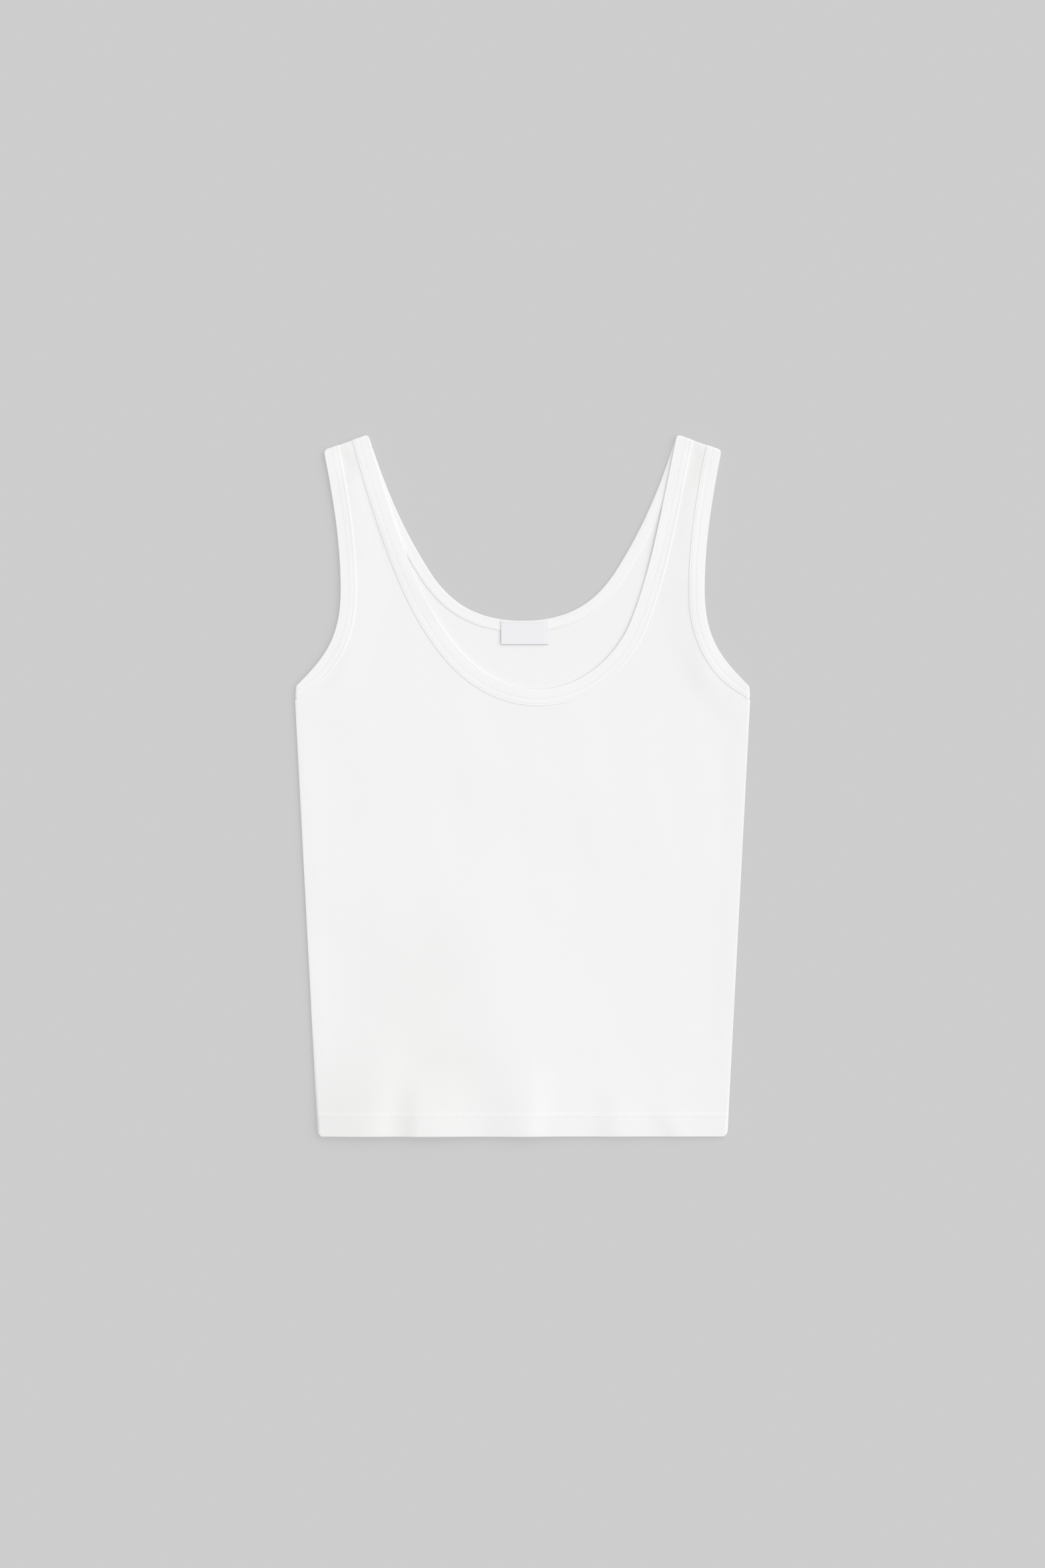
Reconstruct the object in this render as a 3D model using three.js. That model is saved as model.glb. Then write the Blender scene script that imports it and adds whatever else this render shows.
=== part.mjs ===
// A women's tank top in fine white rib jersey, laid flat on its back. Millimetres, +Z up.
// The hem is towards -Y, the straps towards +Y, and the origin is under the middle of its outline.
import * as THREE from "three";

// Driving sizes
const LENGTH = 611; // from the hem to the top of the straps
const CHEST_HALF = 198.3; // half the width at the underarm
const HEM_HALF = 178.2; // half the width at the hem
const CHEST_Y = 78; // height of the widest line
const WALL = 1.1; // one layer of jersey
const HEM_WALL = 1.9; // jersey turned up on itself
const HEM_DEPTH = 20;
const HEM_CORNER = 6.5; // radius of the hem's corners
const BAND_WALL = 2; // binding folded over the raw edge
const NECK_BAND_FRONT = 15; // width of the neck binding as the front shows it
const NECK_BAND_BACK = 10; // and as the inside of the back shows it
const ARM_BAND = 14;
const ARM_BAND_END = 12; // where it runs into the side seam
const SEAM_GAP = 0.3;
const LAYER_GAP = 0.35; // between the back and the front that lies on it
const EDGE_ROUND = 0.45; // how far an edge's middle stands out of its two faces
const LABEL = { width: 41.5, depth: 20, wall: 0.6, centreX: 2.3, lift: 1.1, sideLift: 0.3 };

// How the front rises over what lies under it: how far from an edge it stays up, and over what
// distance it comes down again
const OVER_BAND = { full: 20, fade: 22 };
const OVER_HEM = { full: HEM_DEPTH + 2, fade: 45 };
const OVER_SIDE_SEAM = { height: 0.5, full: 6, fade: 14 }; // the seam's allowances inside
const SHOULDER_CALM = { from: 4, over: 30 }; // the folds start this far from the shoulder

const HEM_Y = -LENGTH / 2;

// The shoulder: the line over which front and back are folded, given for the right strap
const SHOULDER_INNER = new THREE.Vector2(133.8, 303.75);
const SHOULDER_OUTER = new THREE.Vector2(172.8, 289.95);
const UNDERARM = new THREE.Vector2(197.8, 85.6); // where the armhole's edge meets the side seam
const SHOULDER_HEIGHT = BAND_WALL + LAYER_GAP; // underside of the front there
const FOLD_CENTRE_Z = (BAND_WALL + SHOULDER_HEIGHT) / 2;

// Rows and columns of the panels
const ROWS_UP = 22; // from the neck's lowest point to the shoulder, shared with the bindings
const ROWS_TO_NECK = { front: 24, back: 5 };
const COLUMNS = { front: 12, back: 7 };
const HEM_ROWS = [0, 1.2, 4, 17.5, 20.5, 26]; // heights above the hem's edge
const TURN_ANGLES = [30, 60]; // of a panel's last rows, as they start to turn over the shoulder
const BAND_TURN_STEPS = 6;

const smooth = (t) => THREE.MathUtils.smoothstep(t, 0, 1);
const lerp = THREE.MathUtils.lerp;

// An outline is a start and then Bezier curves, each given as two handles and an end.
function outline(start, curves, mirrored = false) {
  const at = (point) => new THREE.Vector2(mirrored ? -point.x : point.x, point.y);
  const path = new THREE.CurvePath();
  let from = at(start);
  for (const { leave, arrive, end } of curves) {
    path.add(new THREE.CubicBezierCurve(from, at(leave), at(arrive), at(end)));
    from = at(end);
  }
  return path;
}

// Neck edges run from the lowest point up to the shoulder. The front's was laid a little to the right.
const FRONT_NECK_LOW = { x: 14.4, y: 84 };
const BACK_NECK_LOW = { x: 0, y: 143.3 };
const FRONT_NECK_RIGHT = [
  { leave: { x: 52.4, y: 84 }, arrive: { x: 83.8, y: 114.3 }, end: { x: 95.3, y: 146.3 } },
  { leave: { x: 113.5, y: 193.4 }, arrive: { x: 121.6, y: 246.3 }, end: SHOULDER_INNER },
];
const FRONT_NECK_LEFT = [
  { leave: { x: 34, y: 84 }, arrive: { x: 62.6, y: 122.4 }, end: { x: 80.8, y: 155.8 } },
  { leave: { x: 102.4, y: 195.3 }, arrive: { x: 120.8, y: 257 }, end: SHOULDER_INNER },
];
const BACK_NECK = [
  { leave: { x: 42, y: 143.3 }, arrive: { x: 65.5, y: 160.5 }, end: { x: 83.3, y: 190.2 } },
  { leave: { x: 107.4, y: 228.5 }, arrive: { x: 121.6, y: 266 }, end: SHOULDER_INNER },
];
const ARMHOLE = [
  { leave: { x: 174.2, y: 109.3 }, arrive: { x: 158.4, y: 126 }, end: { x: 158.4, y: 170 } },
  { leave: { x: 158.4, y: 212 }, arrive: { x: 165.4, y: 252 }, end: SHOULDER_OUTER },
];
const NECK_EDGE = {
  front: {
    right: outline(FRONT_NECK_LOW, FRONT_NECK_RIGHT),
    left: outline({ x: -FRONT_NECK_LOW.x, y: FRONT_NECK_LOW.y }, FRONT_NECK_LEFT, true),
  },
  back: {
    right: outline(BACK_NECK_LOW, BACK_NECK),
    left: outline(BACK_NECK_LOW, BACK_NECK, true),
  },
};

// The armhole's edge runs from the underarm up to the shoulder, the same on front and back.
const ARM_EDGE = {
  right: outline(UNDERARM, ARMHOLE),
  left: outline(UNDERARM, ARMHOLE, true),
};

const SIDES = ["right", "left"];
const sign = (side) => (side === "right" ? 1 : -1);
const CURVE_POINTS = 30; // where distances to an edge are measured

// Soft folds of the front, each a ridge along a line, with its spread to the left and to the right
// of the way it runs. One that dies has its full height only at its start.
const FOLDS = [
  { what: "neck edge, right", from: [95, 138], to: [126, 262], spread: [17, 17], height: 0.3 },
  { what: "neck edge, low right", from: [52, 92], to: [90, 122], spread: [15, 15], height: 0.2 },
  { what: "neck edge, left", from: [-74, 142], to: [-112, 238], spread: [13, 13], height: 0.3 },
  { what: "hem, far left", from: [-134, -296], to: [-116, -190], spread: [38, 22], height: 4.4, dies: true },
  { what: "hem, left", from: [-90, -300], to: [-88, -238], spread: [15, 46], height: 4.8, dies: true },
  { what: "hem, middle", from: [3, -300], to: [9, -215], spread: [30, 15], height: 3.2, dies: true },
  { what: "hem, right", from: [82, -298], to: [80, -250], spread: [13, 20], height: 1.6, dies: true },
  { what: "hem, far right", from: [134, -300], to: [110, -268], spread: [9, 14], height: 1.3, dies: true },
  { what: "long, middle", from: [14, -290], to: [18, -80], spread: [40, 40], height: 1.2, dies: true },
  { what: "broad, lower left", from: [-30, -205], to: [-42, -110], spread: [60, 40], height: 1.8 },
  { what: "broad, far left", from: [-104, -240], to: [-112, -110], spread: [40, 40], height: 1 },
  { what: "broad, chest", from: [-90, 30], to: [110, -30], spread: [55, 55], height: 0.6 },
  { what: "beside the right armhole", from: [160, 96], to: [150, 176], spread: [12, 12], height: 1 },
  { what: "beside the left armhole", from: [-156, 100], to: [-148, 182], spread: [13, 13], height: 0.4 },
  { what: "right strap", from: [146, 200], to: [150, 262], spread: [9, 9], height: 0.6 },
  { what: "left strap", from: [-144, 205], to: [-150, 268], spread: [9, 9], height: 0.5 },
];

// How far a point is from the line between two others
function distanceToSegment(x, y, x0, y0, x1, y1) {
  const dx = x1 - x0;
  const dy = y1 - y0;
  const along = ((x - x0) * dx + (y - y0) * dy) / (dx * dx + dy * dy);
  const t = THREE.MathUtils.clamp(along, 0, 1);
  return Math.hypot(x - x0 - t * dx, y - y0 - t * dy);
}

function distanceToLine(x, y, points) {
  let least = Infinity;
  for (let k = 1; k < points.length; k++)
    least = Math.min(
      least,
      distanceToSegment(x, y, points[k - 1].x, points[k - 1].y, points[k].x, points[k].y),
    );
  return least;
}

// 1 up to the full distance, then falling smoothly to 0 over the fade
const nearness = (distance, { full, fade }) => 1 - smooth((distance - full) / fade);

// Half the garment's width at a height, below the armholes
function sideHalf(y) {
  const straight = lerp(HEM_HALF, CHEST_HALF, (y - HEM_Y) / (CHEST_Y - HEM_Y));
  const up = Math.min(1, (y - HEM_Y) / HEM_CORNER);
  return straight - HEM_CORNER * (1 - Math.sqrt(1 - (1 - up) ** 2));
}

const ARM_LINE = ARM_EDGE.right.getSpacedPoints(CURVE_POINTS);
const BACK_NECK_LINE = NECK_EDGE.back.right.getSpacedPoints(CURVE_POINTS);
const SIDE_LINE = [
  new THREE.Vector2(HEM_HALF, HEM_Y),
  new THREE.Vector2(CHEST_HALF, CHEST_Y),
];
const SHOULDER_LINE = [SHOULDER_INNER, SHOULDER_OUTER];

// The hem's double cloth ends at its stitching, over a short slope.
const HEM_SLOPE = 4;
const wallAt = (y) =>
  lerp(HEM_WALL, WALL, smooth((y - HEM_Y - HEM_DEPTH) / HEM_SLOPE + 0.5));

// A ridge's height at a place: a bell across its line and past its ends
function ridge(x, y, { from: [x0, y0], to: [x1, y1], spread: [left, right], height, dies }) {
  const length = Math.hypot(x1 - x0, y1 - y0);
  const dx = (x1 - x0) / length;
  const dy = (y1 - y0) / length;
  const along = (x - x0) * dx + (y - y0) * dy;
  const beside = (x - x0) * dy - (y - y0) * dx;
  const past = (along - THREE.MathUtils.clamp(along, 0, length)) / lerp(left, right, 0.5);
  const off = beside / (beside > 0 ? right : left);
  const full = dies ? height * (1 - smooth(along / length)) : height;
  return full * Math.exp(-off * off - past * past);
}

// Height of the front layer's underside: over the back, its bindings and its hem, with the soft folds
function frontHeight(x, y) {
  const across = Math.abs(x);
  const band = (BAND_WALL - WALL) * Math.max(
    nearness(distanceToLine(across, y, ARM_LINE), OVER_BAND),
    nearness(distanceToLine(across, y, BACK_NECK_LINE), OVER_BAND),
  );
  const hem = (HEM_WALL - WALL) * nearness(y - HEM_Y, OVER_HEM);
  const fromSide = distanceToLine(across, y, SIDE_LINE);
  const allowance = OVER_SIDE_SEAM.height * nearness(fromSide, OVER_SIDE_SEAM);
  const folds = FOLDS.reduce((sum, fold) => sum + ridge(x, y, fold), 0);
  const fromShoulder = distanceToLine(across, y, SHOULDER_LINE);
  const calm = smooth((fromShoulder - SHOULDER_CALM.from) / SHOULDER_CALM.over);
  return WALL + LAYER_GAP + Math.max(band, hem, allowance) + folds * calm;
}

// The bindings. A station gives the binding's outer edge, the direction from it across the band
// to its seam, and its width there. Near the shoulder a band lies square to the fold.
const SQUARE_FROM = 0.85; // share of the way up where a band starts to turn square to the fold
const SIDE_END = 0.14; // share of an armhole band, at its underarm end, that turns to the side seam
const NARROW_FROM = 0.72; // share of the way up the back where the neck band starts to widen
const SIDE_LEAN = -0.02; // sideways run of the side seam for each unit down
const TANGENT_STEP = 0.01;

function stationsAlong(edge, side, width, towardsOuter) {
  const stations = [];
  const square = SHOULDER_OUTER.clone().sub(SHOULDER_INNER).normalize();
  square.x *= sign(side);
  const turn = sign(side) * (towardsOuter ? 1 : -1);
  if (!towardsOuter) square.negate();
  for (let k = 0; k <= ROWS_UP; k++) {
    const f = k / ROWS_UP;
    const before = edge.getPointAt(Math.max(0, f - TANGENT_STEP));
    const along = edge.getPointAt(Math.min(1, f + TANGENT_STEP)).sub(before).normalize();
    const across = new THREE.Vector2(along.y, -along.x).multiplyScalar(turn);
    across.lerp(square, smooth((f - SQUARE_FROM) / (1 - SQUARE_FROM))).normalize();
    stations.push({ point: edge.getPointAt(f), across, width: width(f) });
  }
  return stations;
}

function armStations(side) {
  const down = new THREE.Vector2(sign(side) * SIDE_LEAN, -1);
  const share = (f) => 1 - smooth(f / SIDE_END);
  const width = (f) => lerp(ARM_BAND, ARM_BAND_END, share(f));
  const stations = stationsAlong(ARM_EDGE[side], side, width, false);
  stations.forEach(({ across }, k) => across.lerp(down, share(k / ROWS_UP)).normalize());
  return stations;
}

const frontNeckWidth = () => NECK_BAND_FRONT;
const backNeckWidth = (f) =>
  lerp(NECK_BAND_BACK, NECK_BAND_FRONT, smooth((f - NARROW_FROM) / (1 - NARROW_FROM)));
const NECK_STATIONS = { front: {}, back: {} };
const ARM_STATIONS = {};
for (const side of SIDES) {
  NECK_STATIONS.front[side] = stationsAlong(NECK_EDGE.front[side], side, frontNeckWidth, true);
  NECK_STATIONS.back[side] = stationsAlong(NECK_EDGE.back[side], side, backNeckWidth, true);
  ARM_STATIONS[side] = armStations(side);
}

// A binding's section: distance in from its outer edge and height above its inner face. The outer
// edge is a fold, and the seam's edge is pressed thinner.
const FOLD_ROUND = 0.9;
const SEAM_ROUND = 0.6;
const bandSection = (w) => [
  [FOLD_ROUND, 0],
  [0, 0.3 * BAND_WALL],
  [0, 0.7 * BAND_WALL],
  [FOLD_ROUND, BAND_WALL],
  [w - SEAM_ROUND, BAND_WALL],
  [w, 0.65 * BAND_WALL],
  [w, 0.25 * BAND_WALL],
  [w - SEAM_ROUND, 0],
];

// The section's points at a station on the front, on the back, and at an angle of the shoulder's fold
const frontRing = ({ point, across, width }) =>
  bandSection(width).map(([w, n]) => {
    const x = point.x + across.x * w;
    const y = point.y + across.y * w;
    return new THREE.Vector3(x, y, frontHeight(x, y) + n);
  });
const backRing = ({ point, across, width }) =>
  bandSection(width).map(([w, n]) =>
    new THREE.Vector3(point.x + across.x * w, point.y + across.y * w, BAND_WALL - n),
  );
function foldRing({ point, across, width }, angle) {
  const up = new THREE.Vector2(-across.y, across.x);
  if (up.y < 0) up.negate();
  return bandSection(width).map(([w, n]) => {
    const r = LAYER_GAP / 2 + n;
    const out = r * Math.sin(angle);
    return new THREE.Vector3(
      point.x + across.x * w + up.x * out,
      point.y + across.y * w + up.y * out,
      FOLD_CENTRE_Z + r * Math.cos(angle),
    );
  });
}
function foldRings(station, fromFront) {
  const rings = [];
  for (let k = 1; k < BAND_TURN_STEPS; k++) {
    const angle = (Math.PI * k) / BAND_TURN_STEPS;
    rings.push(foldRing(station, fromFront ? angle : Math.PI - angle));
  }
  return rings;
}

function geometryOf(points, triangles) {
  const geometry = new THREE.BufferGeometry();
  geometry.setAttribute(
    "position",
    new THREE.Float32BufferAttribute(points.flatMap((p) => p.toArray()), 3),
  );
  geometry.setIndex(triangles);
  if (signedVolume(points, triangles) < 0) geometry.setIndex(triangles.reverse());
  geometry.computeVertexNormals();
  return geometry;
}

function signedVolume(points, triangles) {
  let six = 0;
  for (let k = 0; k < triangles.length; k += 3) {
    const [a, b, c] = [0, 1, 2].map((n) => points[triangles[k + n]]);
    six += a.dot(b.clone().cross(c));
  }
  return six;
}

// A closed skin round a row of equal rings, with a fan of triangles over each end
function sweptBand(rings) {
  const n = rings[0].length;
  const points = rings.flat();
  const triangles = [];
  for (let k = 1; k < rings.length; k++)
    for (let i = 0; i < n; i++) {
      const a = (k - 1) * n + i;
      const b = (k - 1) * n + ((i + 1) % n);
      triangles.push(a, b, b + n, a, b + n, a + n);
    }
  const last = (rings.length - 1) * n;
  for (let i = 1; i < n - 1; i++) {
    triangles.push(0, i + 1, i);
    triangles.push(last, last + i, last + i + 1);
  }
  return geometryOf(points, triangles);
}

// A station a short way on from one station towards the next
function stationPast(from, to, distance) {
  const t = distance / from.point.distanceTo(to.point);
  return {
    point: from.point.clone().lerp(to.point, t),
    across: from.across.clone().lerp(to.across, t).normalize(),
    width: lerp(from.width, to.width, t),
  };
}

function neckBinding() {
  const { front, back } = NECK_STATIONS;
  const rightTop = front.right[ROWS_UP];
  const leftTop = front.left[ROWS_UP];
  // The strip starts and ends behind the left shoulder, its two ends a seam's gap apart.
  const start = stationPast(back.left[ROWS_UP - 1], back.left[ROWS_UP], SEAM_GAP);
  return sweptBand([
    backRing(start),
    backRing(back.left[ROWS_UP]),
    ...foldRings(leftTop, false),
    ...front.left.toReversed().map(frontRing),
    ...front.right.slice(1).map(frontRing),
    ...foldRings(rightTop, true),
    ...back.right.toReversed().map(backRing),
    ...back.left.slice(1, ROWS_UP).map(backRing),
  ]);
}

function armBinding(side) {
  const stations = ARM_STATIONS[side];
  return sweptBand([
    ...stations.map(frontRing),
    ...foldRings(stations[ROWS_UP], true),
    ...stations.toReversed().map(backRing),
  ]);
}

// A panel's plan: for each row, where it starts at the middle or neck, and where it ends at the
// side or armhole
function panelRows(which, side) {
  const inset = SEAM_GAP + EDGE_ROUND;
  const past = ({ point, across, width }) => point.clone().addScaledVector(across, width + inset);
  const neck = NECK_STATIONS[which][side].map(past);
  const arm = ARM_STATIONS[side].map(past);
  const rows = [];
  const below = (yIn, yOut, middle) =>
    rows.push([
      new THREE.Vector2(middle, yIn),
      new THREE.Vector2(sign(side) * (sideHalf(yOut) - EDGE_ROUND), yOut),
    ]);
  for (const up of HEM_ROWS) {
    const y = HEM_Y + Math.max(up, EDGE_ROUND);
    below(y, y, 0);
  }
  const from = HEM_Y + HEM_ROWS.at(-1);
  const steps = ROWS_TO_NECK[which];
  for (let k = 1; k < steps; k++) {
    const f = k / steps;
    below(lerp(from, neck[0].y, f), lerp(from, arm[0].y, f), neck[0].x * f * f);
  }
  for (let k = 0; k <= ROWS_UP; k++) rows.push([neck[k], arm[k]]);
  return rows;
}

// The panel as two grids of points, outer and inner face, that share the middle line below the neck
function panel(which) {
  const columns = COLUMNS[which];
  const isFront = which === "front";
  const rows = Object.fromEntries(SIDES.map((side) => [side, panelRows(which, side)]));
  const neckRow = rows.right.length - 1 - ROWS_UP;
  const turns = TURN_ANGLES.length;
  const lastRow = rows.right.length - 1 + turns;
  const outer = [];
  const inner = [];
  const places = new Map();

  const place = (side, row, column) => {
    const shared = column === 0 && row <= neckRow;
    const key = [shared ? "middle" : side, row, column].join();
    if (!places.has(key)) {
      places.set(key, outer.length);
      const [upper, lower] = facePoints(rows[side], row, column / columns, isFront);
      outer.push(upper);
      inner.push(lower);
    }
    return places.get(key);
  };

  const quads = [];
  for (const side of SIDES)
    for (let row = 0; row < lastRow; row++)
      for (let column = 0; column < columns; column++) {
        const corners = [
          place(side, row, column),
          place(side, row, column + 1),
          place(side, row + 1, column + 1),
          place(side, row + 1, column),
        ];
        quads.push(side === "right" ? corners : corners.reverse());
      }

  const loop = [];
  const add = (side, row, column) => {
    const at = place(side, row, column);
    if (loop.at(-1) !== at && loop[0] !== at) loop.push(at);
  };
  for (let c = 0; c <= columns; c++) add("right", 0, c);
  for (let r = 1; r <= lastRow; r++) add("right", r, columns);
  for (let c = columns - 1; c >= 0; c--) add("right", lastRow, c);
  for (let r = lastRow - 1; r >= neckRow; r--) add("right", r, 0);
  for (let r = neckRow + 1; r <= lastRow; r++) add("left", r, 0);
  for (let c = 1; c <= columns; c++) add("left", lastRow, c);
  for (let r = lastRow - 1; r >= 0; r--) add("left", r, columns);
  for (let c = columns - 1; c > 0; c--) add("left", 0, c);
  return closedPanel(outer, inner, quads, loop);
}

// The two faces' points at a place in a row. Past the last row of the plan they turn over the shoulder.
function facePoints(rows, row, across, isFront) {
  const turn = row - (rows.length - 1);
  const [from, to] = rows[Math.min(row, rows.length - 1)];
  const { x, y } = from.clone().lerp(to, across);
  if (turn <= 0) {
    const bottom = isFront ? frontHeight(x, y) : 0;
    const wall = wallAt(y);
    return [new THREE.Vector3(x, y, bottom + wall), new THREE.Vector3(x, y, bottom)];
  }
  const angle = THREE.MathUtils.degToRad(TURN_ANGLES[turn - 1]);
  const along = to.clone().sub(from).normalize();
  const up = new THREE.Vector2(-along.y, along.x);
  if (up.y < 0) up.negate();
  // Over the fold the front's radius grows from the inside of the bindings to the middle of their wall.
  const share = angle / Math.PI;
  const spare = BAND_WALL - WALL;
  const least = LAYER_GAP / 2 + (isFront ? spare * share : spare * (1 - share));
  return [isFront ? WALL : 0, isFront ? 0 : WALL].map((n) => {
    const r = least + n;
    const out = r * Math.sin(angle);
    const rise = (isFront ? 1 : -1) * r * Math.cos(angle);
    return new THREE.Vector3(x + up.x * out, y + up.y * out, FOLD_CENTRE_Z + rise);
  });
}

// Joins the two faces with a rounded edge: the loop's middle points stand a little out of the faces
function closedPanel(outer, inner, quads, loop) {
  const count = outer.length;
  const points = [...outer, ...inner];
  const triangles = [];
  for (const [a, b, c, d] of quads) {
    triangles.push(a, b, c, a, c, d);
    triangles.push(count + a, count + c, count + b, count + a, count + d, count + c);
  }
  const n = loop.length;
  const middle = (k) => outer[loop[k % n]].clone().add(inner[loop[k % n]]).multiplyScalar(0.5);
  for (let k = 0; k < n; k++) {
    const along = middle(k + 1).sub(middle(k + n - 1)).normalize();
    const normal = outer[loop[k]].clone().sub(inner[loop[k]]).normalize();
    points.push(middle(k).addScaledVector(along.cross(normal).normalize(), EDGE_ROUND));
  }
  for (let k = 0; k < n; k++) {
    const next = (k + 1) % n;
    const [a, b] = [loop[k], loop[next]];
    const [ma, mb] = [2 * count + k, 2 * count + next];
    triangles.push(a, ma, mb, a, mb, b);
    triangles.push(ma, count + a, count + b, ma, count + b, mb);
  }
  return geometryOf(points, triangles);
}

// Height of the back under the label: the neck binding's, then down to the panel's
const LABEL_STEP = { full: NECK_BAND_BACK + 1, fade: 5 };
const backTop = (x, y) =>
  lerp(WALL, BAND_WALL, nearness(distanceToLine(Math.abs(x), y, BACK_NECK_LINE), LABEL_STEP));

// The label hangs from the back neck edge over the binding, and lifts a little at its free end.
function labelPiece() {
  const columns = 8;
  const rows = 8;
  const top = BACK_NECK_LOW.y - SEAM_ROUND;
  const outer = [];
  const inner = [];
  for (let r = 0; r <= rows; r++)
    for (let c = 0; c <= columns; c++) {
      const x = LABEL.centreX + LABEL.width * (c / columns - 0.5);
      const y = top - LABEL.depth * (1 - r / rows);
      const lift = LABEL.lift * (1 - r / rows) ** 2 + LABEL.sideLift * (1 - c / columns) ** 2;
      const z = backTop(x, y) + SEAM_GAP + lift;
      outer.push(new THREE.Vector3(x, y, z + LABEL.wall));
      inner.push(new THREE.Vector3(x, y, z));
    }
  const at = (r, c) => r * (columns + 1) + c;
  const quads = [];
  for (let r = 0; r < rows; r++)
    for (let c = 0; c < columns; c++)
      quads.push([at(r, c), at(r, c + 1), at(r + 1, c + 1), at(r + 1, c)]);
  const loop = [];
  for (let c = 0; c < columns; c++) loop.push(at(0, c));
  for (let r = 0; r < rows; r++) loop.push(at(r, columns));
  for (let c = columns; c > 0; c--) loop.push(at(rows, c));
  for (let r = rows; r > 0; r--) loop.push(at(r, 0));
  return closedPanel(outer, inner, quads, loop);
}

const jersey = () => new THREE.MeshStandardMaterial({ color: 0xf3f3f2, roughness: 0.92, metalness: 0 });
const rib = () => new THREE.MeshStandardMaterial({ color: 0xf5f5f4, roughness: 0.9, metalness: 0 });
const satin = () => new THREE.MeshStandardMaterial({ color: 0xe9e8ee, roughness: 0.45, metalness: 0 });

const garment = new THREE.Group();
const piece = (name, geometry, material) => {
  const mesh = new THREE.Mesh(geometry, material);
  mesh.name = name;
  garment.add(mesh);
};
piece("back", panel("back"), jersey());
piece("front", panel("front"), jersey());
piece("neck_binding", neckBinding(), rib());
for (const side of SIDES) piece("arm_binding_" + side, armBinding(side), rib());
piece("label", labelPiece(), satin());

export default garment;
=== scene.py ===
import math

import bpy
import numpy as np
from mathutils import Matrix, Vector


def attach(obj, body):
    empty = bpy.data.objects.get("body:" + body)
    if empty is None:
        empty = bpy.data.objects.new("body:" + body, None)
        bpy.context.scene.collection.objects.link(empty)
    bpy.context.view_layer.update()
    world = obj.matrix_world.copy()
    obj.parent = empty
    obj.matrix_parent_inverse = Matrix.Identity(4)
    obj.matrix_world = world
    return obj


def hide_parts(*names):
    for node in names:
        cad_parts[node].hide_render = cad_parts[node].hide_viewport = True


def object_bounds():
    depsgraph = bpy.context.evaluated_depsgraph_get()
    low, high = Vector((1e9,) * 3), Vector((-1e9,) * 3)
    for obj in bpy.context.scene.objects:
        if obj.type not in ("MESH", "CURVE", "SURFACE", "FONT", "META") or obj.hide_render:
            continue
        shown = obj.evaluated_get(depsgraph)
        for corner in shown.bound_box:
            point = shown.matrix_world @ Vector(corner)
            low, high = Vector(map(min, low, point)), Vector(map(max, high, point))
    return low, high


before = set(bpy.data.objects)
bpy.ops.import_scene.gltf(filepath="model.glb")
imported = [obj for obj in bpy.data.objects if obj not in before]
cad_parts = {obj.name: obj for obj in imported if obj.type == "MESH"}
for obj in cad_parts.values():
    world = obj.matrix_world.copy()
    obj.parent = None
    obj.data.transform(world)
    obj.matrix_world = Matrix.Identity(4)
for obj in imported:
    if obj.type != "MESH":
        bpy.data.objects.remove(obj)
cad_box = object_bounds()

# The back is one panel of fine white rib jersey, lying on the table with its outer side down.
# Its raw edges at the neck and armholes end inside the bindings, it is turned up at the hem, and
# over the shoulder it meets the front. Sizes here are millimetres on the table.
MM = 0.001
HEM_Y = cad_box[0].y / MM
CHEST_HALF = 198.3
HEM_HALF = 178.2
CHEST_Y = 78.0
WALL = 1.1
HEM_WALL = 1.9
HEM_DEPTH = 20.0
HEM_SLOPE = 5.0
HEM_CORNER = 6.5
BAND_WALL = 1.7
SEAM_GAP = 0.3
LAYER_GAP = 0.2
EDGE_ROUND = 0.45  # of the panels' sides
HEM_ROUND = 0.85  # and of the hem's edge
UNDER_BINDING = 0.5  # how far a panel's raw edge reaches into its binding
NECK_BAND_BACK = 10.0
NECK_BAND_FRONT = 15.0
ARM_BAND = 14.0
ARM_BAND_END = 12.0
SHOULDER_INNER = (133.8, 303.75)
SHOULDER_OUTER = (172.8, 289.95)
SHOULDER_HEIGHT = BAND_WALL + LAYER_GAP
FOLD_CENTRE_Z = (BAND_WALL + SHOULDER_HEIGHT) / 2
STRAP_CORNER = 3.6  # how far from the top of the straps their corners are rounded
SIDE_TUCK = 1.5  # width over which front and back close on each other at the side seam
SEAM_Z = 1.8  # height of the side seam
SEAM_WALL = 0.75  # each layer's thickness where the seam presses it
SEAM_PLAY = 0.05  # between the two layers there
JERSEY_WHITE = (0.900, 0.900, 0.897, 1.0)
# the darker white: painted shade in the knit's valleys, and uneven yarn
JERSEY_SHADE = (0.878, 0.878, 0.877, 1.0)
JERSEY_PAINTED_DARK = (0.857, 0.857, 0.849, 1.0)  # a darker, slightly warm white: painted shade in the straps' dips, and greyer at the lower left of the front
WALE = 1.05  # width of one rib of the knitting
COURSE = 0.8  # height of one row of stitches
PANEL_ROWS_UP = 92
BACK_ROWS_TO_NECK = 165
PANEL_COLUMNS = 58
LEVEL_ROWS = 0.25  # share of the neck's seam up to which rows bend to leave the middle level
TURN_DEGREES = (15, 30, 45, 60, 75)
RIM_DEGREES = (-60, -30, 0, 30, 60)


def smooth(t):
    """Smooth step, 3t^2 - 2t^3, with t held between 0 and 1."""
    t = np.clip(t, 0.0, 1.0)
    return t * t * (3.0 - 2.0 * t)


def between(a, b, t):
    """The value a share t of the way from a to b."""
    return a + (b - a) * t


def unit(v):
    """Vectors scaled to length one."""
    return v / np.linalg.norm(v, axis=-1, keepdims=True)


DOWN_SHOULDER = unit(np.array(SHOULDER_OUTER) - SHOULDER_INNER)
UP_FROM_SHOULDER = np.array([-DOWN_SHOULDER[1], DOWN_SHOULDER[0]])


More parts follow.
